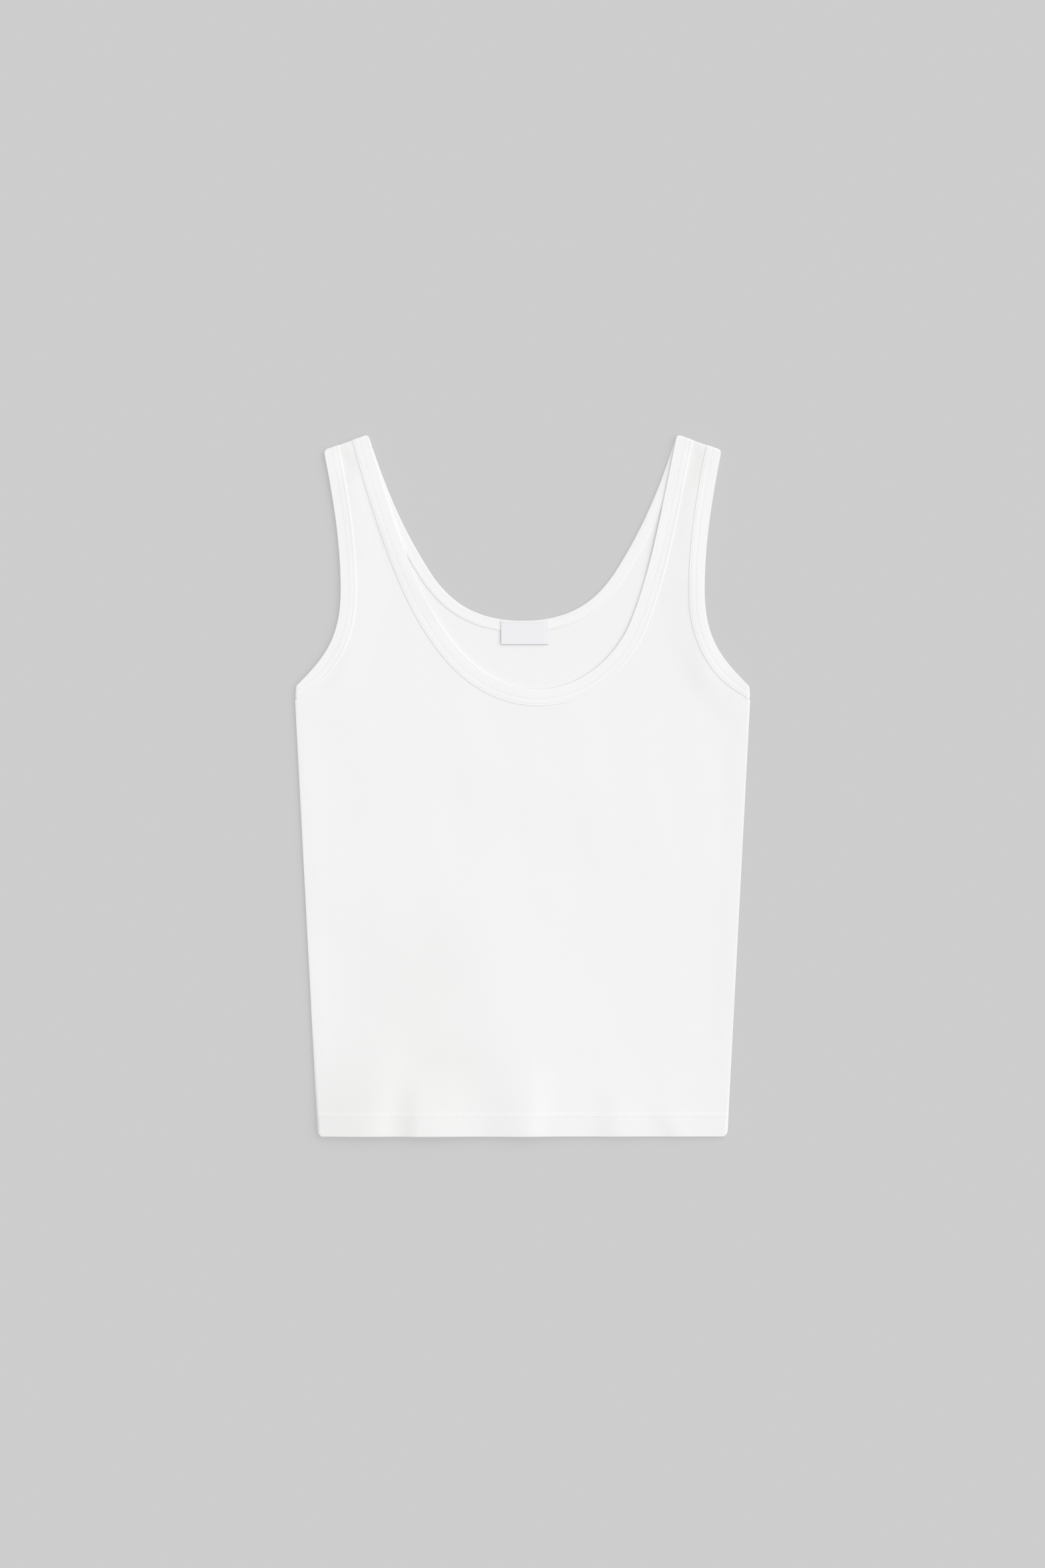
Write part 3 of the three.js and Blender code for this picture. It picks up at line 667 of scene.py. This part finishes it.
def stitch_row(name, rows):
    """Stitches of one thread in one mesh. Each row is a line of points and the directions across
    it. A stitch is a bead, cos(angle) along and sqrt(sin(angle)) out, drawn to the stitch's
    length, one every pitch along the row."""
    sides, rings = 6, 5
    near = 0.6  # distance to either side of a stitch's middle that gives its direction
    turn = np.linspace(0.0, math.pi, rings + 2)[1:-1]
    around = np.linspace(0.0, 2 * math.pi, sides, endpoint=False)
    body = np.stack(np.broadcast_arrays(
        -np.cos(turn)[:, None] * STITCH_LENGTH / 2,
        np.sin(turn)[:, None] ** 0.5 * np.cos(around) * THREAD / 2,
        np.sin(turn)[:, None] ** 0.5 * np.sin(around) * THREAD / 2,
    ), axis=-1).reshape(-1, 3)
    shape = np.concatenate([body, [[-STITCH_LENGTH / 2, 0, 0], [STITCH_LENGTH / 2, 0, 0]]])
    ring = np.arange(rings * sides).reshape(rings, sides)
    ahead = np.roll(ring, -1, axis=1)
    walls = np.stack([ring[:-1], ahead[:-1], ahead[1:], ring[1:]], axis=-1).reshape(-1, 4)
    tips = [
        np.column_stack([np.full(sides, len(body) + end), a, b])
        for end, (a, b) in enumerate([(ahead[0], ring[0]), (ring[-1], ahead[-1])])
    ]
    points, quads, triangles, count = [], [], [], 0
    for line, across in rows:
        steps = np.linalg.norm(np.diff(line, axis=0), axis=1)
        travelled = np.concatenate([[0.0], np.cumsum(steps)])
        stops = np.arange(STITCH_PITCH / 2, travelled[-1], STITCH_PITCH)
        at, before, after = (
            np.stack([np.interp(stops + shift, travelled, line[:, k]) for k in range(3)], axis=-1)
            for shift in (0.0, -near, near)
        )
        along = unit(after - before)
        side = np.stack([np.interp(stops, travelled, across[:, k]) for k in range(3)], axis=-1)
        up = unit(np.cross(along, side))
        side = np.cross(up, along)
        frames = np.stack([along, side, up], axis=1)
        points.append((at[:, None] + shape @ frames).reshape(-1, 3))
        shift = count + len(shape) * np.arange(len(stops))[:, None, None]
        quads.append((walls + shift).reshape(-1, 4))
        triangles.append((np.concatenate(tips) + shift).reshape(-1, 3))
        count += len(shape) * len(stops)
    mesh = bpy.data.meshes.new(name)
    faces = np.concatenate(quads).tolist() + np.concatenate(triangles).tolist()
    mesh.from_pydata((np.concatenate(points) * MM).tolist(), [], faces)
    mesh.polygons.foreach_set("use_smooth", np.ones(len(faces), bool))
    piece = bpy.data.objects.new(name, mesh)
    bpy.context.scene.collection.objects.link(piece)
    piece.data.materials.append(THREAD_MATERIAL)
    return piece


def thread_material():
    """White sewing thread, a little shinier than the jersey, with its twist as fine bands, the
    darker ones painted shade in the grooves between its plies.
    """
    material = bpy.data.materials.new("white_sewing_thread")
    material.use_nodes = True
    tree = material.node_tree
    shader = tree.nodes["Principled BSDF"]
    shader.inputs["Sheen Weight"].default_value = 0.1
    place = tree.nodes.new("ShaderNodeTexCoord")
    twist = tree.nodes.new("ShaderNodeTexWave")
    twist.bands_direction = "DIAGONAL"
    twist.inputs["Scale"].default_value = 900.0
    tree.links.new(place.outputs["Object"], twist.inputs["Vector"])
    # painted shade: the twist's grooves darken the thread's colour
    twist_shade = colour_mix(tree, THREAD_WHITE, JERSEY_SHADE, twist.outputs["Fac"])
    tree.links.new(twist_shade, shader.inputs["Base Color"])
    roughness = maths(tree, "MULTIPLY_ADD", twist.outputs["Fac"], 0.15, 0.55)
    tree.links.new(roughness, shader.inputs["Roughness"])
    return material


THREAD_MATERIAL = thread_material()
front = panel_mesh(
    "front_panel",
    {side: (lambda share, side=side: front_neck_path(side, share)) for side in SIDES},
    FRONT_ROWS_TO_NECK, True, front_underside, front_thickness,
)
# darker at the straps' dips, as painted shade, and greyer at the lower left
mark_painted_dark(front, PAINTED_DARK_PLACES)
front.data.materials.append(JERSEY)
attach(front, "root")
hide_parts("front")
hem_x = np.linspace(-1, 1, 400) * (side_half(np.array(HEM_Y + HEM_ROW)) - HEM_ROW_INSET)
hem_y = np.full_like(hem_x, HEM_Y + HEM_ROW)
hem_z = front_height(hem_x, hem_y) + HEM_WALL - STITCH_GROOVE + THREAD * THREAD_RISE
hem_line = np.column_stack([hem_x, hem_y, hem_z])
hem_stitches = stitch_row("hem_stitches", [(hem_line, np.tile([0.0, 1.0, 0.0], (len(hem_x), 1)))])
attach(hem_stitches, "root")

# The neck binding is one strip of the same jersey, cut across the ribs, folded over the raw neck
# edges and stitched down with two needle rows. It runs round the front, over both shoulders and
# round the back, and its ends meet behind the left shoulder.
FOLD_ROUND = 0.5  # width of the folded edge's round
SEAM_ROUND = 0.25  # and of the edge at the seam
STATION = 1.3  # distance between the binding's sections
FOLD_STEPS = 18  # and how many steps it turns over in
ROUND_POINTS, TOP_POINTS, INNER_POINTS = 9, 28, 4  # of a section's rounds, top and inner face
NEEDLE_ROWS = (2.0, 6.6)  # of stitching, in from the seam
THREAD_SINK = 0.1  # and on the back, towards the table, below that floor
TURN_SUNK = 0.4  # how much deeper a straight stitch lies over a fold
INNER_STITCH = 0.05  # height of the thread over the inner face
NECK_JOINT = 1 - 1 / 22  # share of the back's left edge where the strip's ends meet
JOINT_GAP = 0.002  # and the share between them
BINDING_WHITE = (0.924, 0.924, 0.921, 1.0)
# the binding's darker white: painted shade in the knit's valleys, and uneven yarn
BINDING_SHADE = (0.902, 0.902, 0.901, 1.0)


def run_of(path, edge, side, start, end, turn):
    """Stations of a binding between two shares of an edge, at even distances. Each has its place,
    its direction across and width, its turn, its direction outwards, and the length of a tip."""
    length = np.linalg.norm(np.diff(edge[:, 1:], axis=0), axis=1).sum() * abs(end - start)
    share = np.linspace(start, end, int(length / STATION) + 1)
    place, across, width = path(side, share)
    outwards = np.stack([-across[:, 1], across[:, 0]], axis=-1)
    turns, tips = np.full(len(share), turn), np.zeros(len(share))
    return np.column_stack([place, across, width, turns, outwards, tips])


def fold_of(station, outwards, start, end, tip=0.0):
    """Stations of a binding as it turns on a half circle, whose bulge points outwards. From the
    folded edge the bulge grows as a quarter circle over the tip's length."""
    turn = np.linspace(start, end, FOLD_STEPS + 1)[1:-1]
    rows = np.tile(station, (len(turn), 1))
    rows[:, 5] = turn
    rows[:, 6:8] = outwards
    rows[:, 8] = tip
    return rows


def strip_points(strip, inward, height):
    """Points of a binding at a distance in from its folded edge and a height over its inner face.
    With r = half the layers' gap + height, a station turned by t stands at the fold's centre plus
    r cos(t) up and r sin(t) outwards, and the part cos(t) > 0 rides on the front."""
    place, across, outwards = strip[:, None, 0:2], strip[:, None, 2:4], strip[:, None, 6:8]
    turn, tip = strip[:, None, 5], strip[:, None, 8]
    flat = place + across * inward[..., None]
    r = LAYER_GAP / 2 + height
    grown = np.clip(inward / np.maximum(tip, 1e-6), 0.0, 1.0)
    bulge = np.where(tip > 0, np.sqrt(1 - (1 - grown) ** 2), 1.0) * r * np.sin(turn)
    ride = (front_height(flat[..., 0], flat[..., 1]) - SHOULDER_HEIGHT) * (1 + np.cos(turn)) / 2
    z = FOLD_CENTRE_Z + r * np.cos(turn) + ride
    return soft_corners(np.dstack([flat + outwards * bulge[..., None], z]))


def binding_section(width):
    """A binding's section round its outside: half an ellipse at the folded edge, the top with a
    groove exp(-(distance / half width)^2) at each needle row, half an ellipse at the seam that
    starts a little lower, and the flat inner face. The last value is the distance round it."""
    seam_drop = 0.04
    arc = np.radians(np.linspace(-90, 90, ROUND_POINTS))
    share = np.concatenate([
        np.zeros(ROUND_POINTS), np.linspace(0.0, 1.0, TOP_POINTS + 2)[1:-1],
        np.ones(ROUND_POINTS), np.linspace(1.0, 0.0, INNER_POINTS + 2)[1:-1],
    ])
    offset = np.concatenate([
        FOLD_ROUND * (1 - np.cos(arc)), np.full(TOP_POINTS, FOLD_ROUND),
        FOLD_ROUND + SEAM_ROUND * np.cos(arc), np.full(INNER_POINTS, FOLD_ROUND),
    ])
    level = np.concatenate([
        np.sin(arc), np.ones(TOP_POINTS),
        -np.sin(arc) * (1 - seam_drop) - seam_drop, -np.ones(INNER_POINTS),
    ])
    inward = share * (width[:, None] - FOLD_ROUND - SEAM_ROUND) + offset
    height = np.tile(BAND_WALL * (1 + level) / 2, (len(width), 1))
    for row in NEEDLE_ROWS:
        groove = np.exp(-(((width[:, None] - inward - row) / GROOVE_REACH) ** 2))
        height -= np.where(level > 0.9, STITCH_GROOVE * groove, 0.0)
    step = np.hypot(np.diff(inward, axis=1), np.diff(height, axis=1))
    return inward, height, np.column_stack([np.zeros(len(width)), np.cumsum(step, axis=1)])


def binding_mesh(name, strip, closed):
    """The section carried along a strip's stations. The knitting's ribs cross the binding, so its
    map has the distance along the strip first and the distance round the section second."""
    inward, height, girth = binding_section(strip[:, 4])
    points = strip_points(strip, inward, height)
    rings, around = points.shape[:2]
    middle = points.mean(axis=1)
    travelled = np.concatenate([[0.0], np.cumsum(np.linalg.norm(np.diff(middle, axis=0), axis=1))])
    cloth = np.dstack([np.broadcast_to(travelled[:, None], girth.shape), girth])
    numbers = np.arange(rings * around).reshape(rings, around)
    numbers = np.concatenate([numbers, numbers[:1]]) if closed else numbers
    ahead = np.roll(numbers, -1, axis=1)
    faces = np.stack([numbers[:-1], ahead[:-1], ahead[1:], numbers[1:]], axis=-1).reshape(-1, 4)
    if not closed:
        half = np.arange(around // 2)
        for ring, flip in ((0, 1), (rings - 1, -1)):
            near, far = ring * around + half, ring * around + around - 1 - half
            caps = np.column_stack([near, far, far - 1, near + 1])
            faces = np.concatenate([faces, caps[: around // 2 - 1, ::flip]])
    piece = cloth_object(name, points.reshape(-1, 3), faces, cloth.reshape(-1, 2))
    if signed_volume(points.reshape(-1, 3), faces) < 0:
        piece.data.flip_normals()
    piece.data.materials.append(BINDING)
    return piece


def signed_volume(points, faces):
    """Six times the volume inside a closed mesh: the sum of a . (b x c) over its triangles."""
    a, b, c, d = (points[faces[:, k]] for k in range(4))
    return (a * (np.cross(b, c) + np.cross(c, d))).sum()


def needle_rows(name, strip, inner=()):
    """Both rows of stitches along a binding's outer face, sunk in their grooves and a little more
    where it turns, and on the stretches given as inner those that show on its inner face."""
    rows, turn = [], strip[:, 5:6]
    aside = 0.5  # distance towards the folded edge that gives the direction across
    rise = between(THREAD_RISE, -THREAD_SINK, (1 - np.cos(turn)) / 2)
    sunk = STITCH_GROOVE - THREAD * rise + TURN_SUNK * np.sin(turn)
    for row in NEEDLE_ROWS:
        for stretch, height in [(strip, BAND_WALL - sunk)] + [(part, INNER_STITCH) for part in inner]:
            inward = stretch[:, 4:5] - row
            line = strip_points(stretch, inward, height)[:, 0]
            beside = strip_points(stretch, inward - aside, height)[:, 0]
            rows.append((line, unit(beside - line)))
    return stitch_row(name, rows)


BINDING = jersey_material("white_rib_binding", BINDING_WHITE, BINDING_SHADE, WALE, COURSE, 0.1)
neck_fold = {side: UP_FROM_SHOULDER * (side, 1.0) for side in SIDES}
front_left = run_of(front_neck_path, FRONT_NECK_EDGE[-1.0], -1.0, 1.0, 0.0, 0.0)
front_right = run_of(front_neck_path, FRONT_NECK_EDGE[1.0], 1.0, 0.0, 1.0, 0.0)
back_right = run_of(back_neck_path, BACK_NECK_EDGE[1.0], 1.0, 1.0, 0.0, math.pi)
back_left = run_of(back_neck_path, BACK_NECK_EDGE[-1.0], -1.0, 0.0, NECK_JOINT, math.pi)
back_end = run_of(
    back_neck_path, BACK_NECK_EDGE[-1.0], -1.0, NECK_JOINT + JOINT_GAP, 1.0, math.pi,
)
neck_strip = np.concatenate([
    back_end, fold_of(front_left[0], neck_fold[-1.0], math.pi, 0.0), front_left,
    front_right[1:], fold_of(front_right[-1], neck_fold[1.0], 0.0, math.pi), back_right, back_left[1:],
])
neck_binding = binding_mesh("neck_band", neck_strip, False)
neck_stitches = needle_rows("neck_band_stitches", neck_strip, [back_right, back_left])
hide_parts("neck_binding")
for piece in (neck_binding, neck_stitches):
    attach(piece, "root")

# Each armhole has the same binding, sewn into a ring. Laid flat it turns over at the shoulder and
# again at the underarm, where its seam lies on the garment's side seam.
UNDERARM_START = 0.01  # share of the edge where the ring turns from front to back
UNDERARM_ROUND = 10.0  # length over which that turn grows from its tip
for side, name in ((1.0, "right"), (-1.0, "left")):
    over = run_of(arm_path, ARM_EDGE[side], side, UNDERARM_START, 1.0, 0.0)
    under = run_of(arm_path, ARM_EDGE[side], side, 1.0, UNDERARM_START, math.pi)
    arm_strip = np.concatenate([
        over, fold_of(over[-1], neck_fold[side], 0.0, math.pi),
        under, fold_of(over[0], np.array([side, 0.0]), math.pi, 0.0, UNDERARM_ROUND),
    ])
    binding = binding_mesh("armhole_band_" + name, arm_strip, True)
    rows = needle_rows("armhole_band_stitches_" + name, arm_strip)
    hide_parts("arm_binding_" + name)
    for piece in (binding, rows):
        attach(piece, "root")

# The label is a short length of bare white satin tape. It is sewn by its top edge to the inside of
# the neck binding at the middle of the back, and its free end lifts a little off the cloth.
LABEL_WIDTH = 41.5
LABEL_DEPTH = 20.0
LABEL_WALL = 0.6
LABEL_CENTRE_X = 2.3
LABEL_LIFT = 0.2
LABEL_SIDE_LIFT = 0.1
LABEL_CURL = 0.22  # how far its right end bends down
LABEL_CURL_REACH = 0.12  # and the share of its width that does
LABEL_SEAM = 0.07  # share of its depth where it is stitched
LABEL_STITCH = 0.03  # height of that thread over the tape
LABEL_ROWS, LABEL_COLUMNS = 25, 49
SATIN_WHITE = (0.87, 0.87, 0.893, 1.0)
SATIN_SHADE = (0.83, 0.83, 0.86, 1.0)


def label_underside(down, across):
    """The label's underside at shares of its depth and width. It lies just over the binding, lifts
    as the squares of the shares down from its seam and towards its left end, and bends down at
    its right end."""
    x = LABEL_CENTRE_X + LABEL_WIDTH * (across - 0.5)
    y = BACK_NECK_LOW[1] - SEAM_ROUND - LABEL_DEPTH * down
    lift = LABEL_LIFT * down**2 + LABEL_SIDE_LIFT * (1 - across) ** 2
    curl = LABEL_CURL * nearness(1 - across, 0.0, LABEL_CURL_REACH)
    return np.dstack([x, y, BAND_WALL + SEAM_GAP + lift - curl])


def satin_material():
    """Satin tape: fine weft threads across it with long floats, and the tape's soft gloss."""
    material = bpy.data.materials.new("white_satin_tape")
    material.use_nodes = True
    tree = material.node_tree
    shader = tree.nodes["Principled BSDF"]
    shader.inputs["Specular IOR Level"].default_value = 0.5
    shader.inputs["Sheen Weight"].default_value = 0.1
    cloth = tree.nodes.new("ShaderNodeUVMap")
    cloth.uv_map = "knit"
    place = tree.nodes.new("ShaderNodeSeparateXYZ")
    tree.links.new(cloth.outputs["UV"], place.inputs[0])
    weft = maths(tree, "SINE", maths(tree, "MULTIPLY", place.outputs["Y"], 2 * math.pi / 0.22))
    float_step = maths(tree, "MULTIPLY_ADD", place.outputs["Y"], 1.7, place.outputs["X"])
    floats = maths(tree, "SINE", maths(tree, "MULTIPLY", float_step, 2 * math.pi / 0.9))
    height = maths(tree, "MULTIPLY_ADD", floats, 0.35, weft)
    woven = colour_mix(
        tree, SATIN_SHADE, SATIN_WHITE, maths(tree, "MULTIPLY_ADD", height, 0.3, 0.5),
    )
    tree.links.new(woven, shader.inputs["Base Color"])
    roughness = maths(tree, "MULTIPLY_ADD", floats, 0.05, 0.42)
    tree.links.new(roughness, shader.inputs["Roughness"])
    bump_from(tree, height, 0.4, 0.03, shader)
    return material


down, across = np.meshgrid(
    np.linspace(1.0, 0.0, LABEL_ROWS), np.linspace(0.0, 1.0, LABEL_COLUMNS), indexing="ij",
)
low = label_underside(down, across)
high = low + (0.0, 0.0, LABEL_WALL)
numbers = np.arange(down.size).reshape(down.shape)
corners = [numbers[:-1, :-1], numbers[:-1, 1:], numbers[1:, 1:], numbers[1:, :-1]]
rim = np.concatenate([numbers[0, :-1], numbers[:-1, -1], numbers[-1, :0:-1], numbers[:0:-1, 0]])
label = shell_mesh(
    "label_tape", high.reshape(-1, 3), low.reshape(-1, 3), low[..., :2].reshape(-1, 2),
    np.stack(corners, axis=-1).reshape(-1, 4), rim,
)
label.data.materials.append(satin_material())
seam_across = np.linspace(0.03, 0.97, 60)[None]
seam_line = label_underside(np.full_like(seam_across, LABEL_SEAM), seam_across)[0]
seam_line += (0.0, 0.0, LABEL_WALL + LABEL_STITCH)
seam_side = np.tile([0.0, 1.0, 0.0], (len(seam_line), 1))
label_stitches = stitch_row("label_stitches", [(seam_line, seam_side)])
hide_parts("label")
for piece in (label, label_stitches):
    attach(piece, "root")

# The garment is photographed from straight above on a plain pale grey table that glows a little,
# in soft daylight from the upper right, with light from all round to fill its shadows.
TABLE_GREY = (0.29, 0.29, 0.29, 1.0)
TABLE_GLOW = 0.316  # of the lit table, which takes the edge off the shadows on it
FRAME_HEIGHT = 1.3642  # metres of table that the picture's long side covers
FRAME_CENTRE_Y = 0.0012
LENS = 100.0
SENSOR = 36.0
KEY_ELEVATION = math.radians(52)
KEY_AZIMUTH = math.radians(28)
KEY_SPREAD = math.radians(80)  # a wide patch of sky rather than a small sun
KEY_STRENGTH = 1.72
FILL_STRENGTH = 0.59
TABLE_DROP = 0.0004  # metres that the table lies under the garment, clear of its stitches
bpy.ops.mesh.primitive_plane_add(size=12.0, location=(0.0, 0.0, -TABLE_DROP))
floor = bpy.context.object
floor.name = "floor"
paint = bpy.data.materials.new("pale_grey_table")
paint.use_nodes = True
surface = paint.node_tree.nodes["Principled BSDF"].inputs
surface["Base Color"].default_value = TABLE_GREY
surface["Emission Color"].default_value = (1.0, 1.0, 1.0, 1.0)
surface["Emission Strength"].default_value = TABLE_GLOW
surface["Roughness"].default_value = 1.0
surface["Specular IOR Level"].default_value = 0.0
floor.data.materials.append(paint)

sky = bpy.data.worlds.new("soft_fill")
sky.use_nodes = True
sky.node_tree.nodes["Background"].inputs["Color"].default_value = (1.0, 1.0, 1.0, 1.0)
sky.node_tree.nodes["Background"].inputs["Strength"].default_value = FILL_STRENGTH
bpy.context.scene.world = sky
key = bpy.data.objects.new("daylight", bpy.data.lights.new("daylight", "SUN"))
key.data.energy = KEY_STRENGTH
key.data.angle = KEY_SPREAD
key.rotation_euler = (0.0, math.pi / 2 - KEY_ELEVATION, KEY_AZIMUTH)
bpy.context.scene.collection.objects.link(key)

camera = bpy.data.objects.new("camera", bpy.data.cameras.new("camera"))
camera.data.lens = LENS
camera.data.sensor_width = SENSOR
camera.location = (0.0, FRAME_CENTRE_Y, FRAME_HEIGHT * LENS / SENSOR)
bpy.context.scene.collection.objects.link(camera)
bpy.context.scene.camera = camera
bpy.context.scene.view_settings.view_transform = "Standard"
